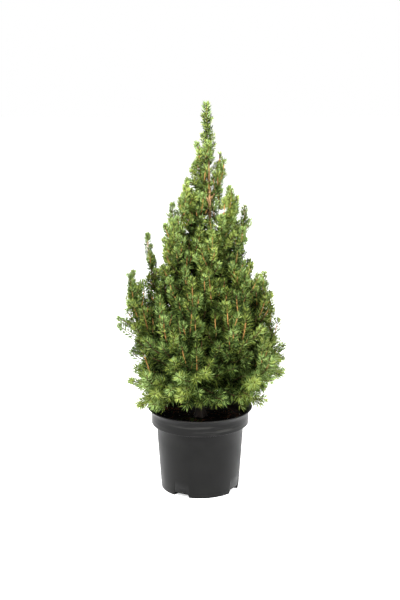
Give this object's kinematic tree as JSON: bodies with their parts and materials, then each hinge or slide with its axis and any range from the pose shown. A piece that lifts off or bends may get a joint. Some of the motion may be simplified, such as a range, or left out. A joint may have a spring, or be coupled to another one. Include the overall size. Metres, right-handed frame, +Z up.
{
  "type": "potted dwarf spruce",
  "caption": "Small cone-shaped conifer with dense upright plumes of short needles, on one slim trunk in a round tapered nursery pot with a flared rim and notched foot.",
  "frame": {"origin": "centre of the pot's flat underside", "axes": "+Z up along the pot's axis; the viewer of the usual front stands on the -Y side"},
  "size_m": [0.3087, 0.2829, 0.706],
  "materials": {
    "pot": "satin dark grey, lightly scuffed",
    "soil": "moist dark peat",
    "bark": "rough orange-brown bark",
    "needles": "fresh green needles, yellow-green at the tips"
  },
  "bodies": {
    "root": {"pot": "pot", "soil": "soil", "trunk": "bark", "bough_crown_1": "bark", "bough_crown_2": "bark", "bough_high_1": "bark", "bough_high_2": "bark", "bough_high_3": "bark", "bough_high_4": "bark", "bough_high_5": "bark", "bough_lower_1": "bark", "bough_lower_2": "bark", "bough_lower_3": "bark", "bough_lower_4": "bark", "bough_lower_5": "bark", "bough_lower_6": "bark", "bough_middle_1": "bark", "bough_middle_2": "bark", "bough_middle_3": "bark", "bough_middle_4": "bark", "bough_middle_5": "bark", "bough_skirt_1": "bark", "bough_skirt_2": "bark", "bough_skirt_3": "bark", "bough_skirt_4": "bark", "bough_skirt_5": "bark", "bough_skirt_6": "bark", "bough_skirt_7": "bark", "bough_upper_1": "bark", "bough_upper_2": "bark", "bough_upper_3": "bark", "foliage_crown_1": "needles", "foliage_crown_2": "needles", "foliage_high_1": "needles", "foliage_high_2": "needles", "foliage_high_3": "needles", "foliage_high_4": "needles", "foliage_high_5": "needles", "foliage_leader": "needles", "foliage_lower_1": "needles", "foliage_lower_2": "needles", "foliage_lower_3": "needles", "foliage_lower_4": "needles", "foliage_lower_5": "needles", "foliage_lower_6": "needles", "foliage_middle_1": "needles", "foliage_middle_2": "needles", "foliage_middle_3": "needles", "foliage_middle_4": "needles", "foliage_middle_5": "needles", "foliage_skirt_1": "needles", "foliage_skirt_2": "needles", "foliage_skirt_3": "needles", "foliage_skirt_4": "needles", "foliage_skirt_5": "needles", "foliage_skirt_6": "needles", "foliage_skirt_7": "needles", "foliage_upper_1": "needles", "foliage_upper_2": "needles", "foliage_upper_3": "needles"}
  },
  "joints": []
}
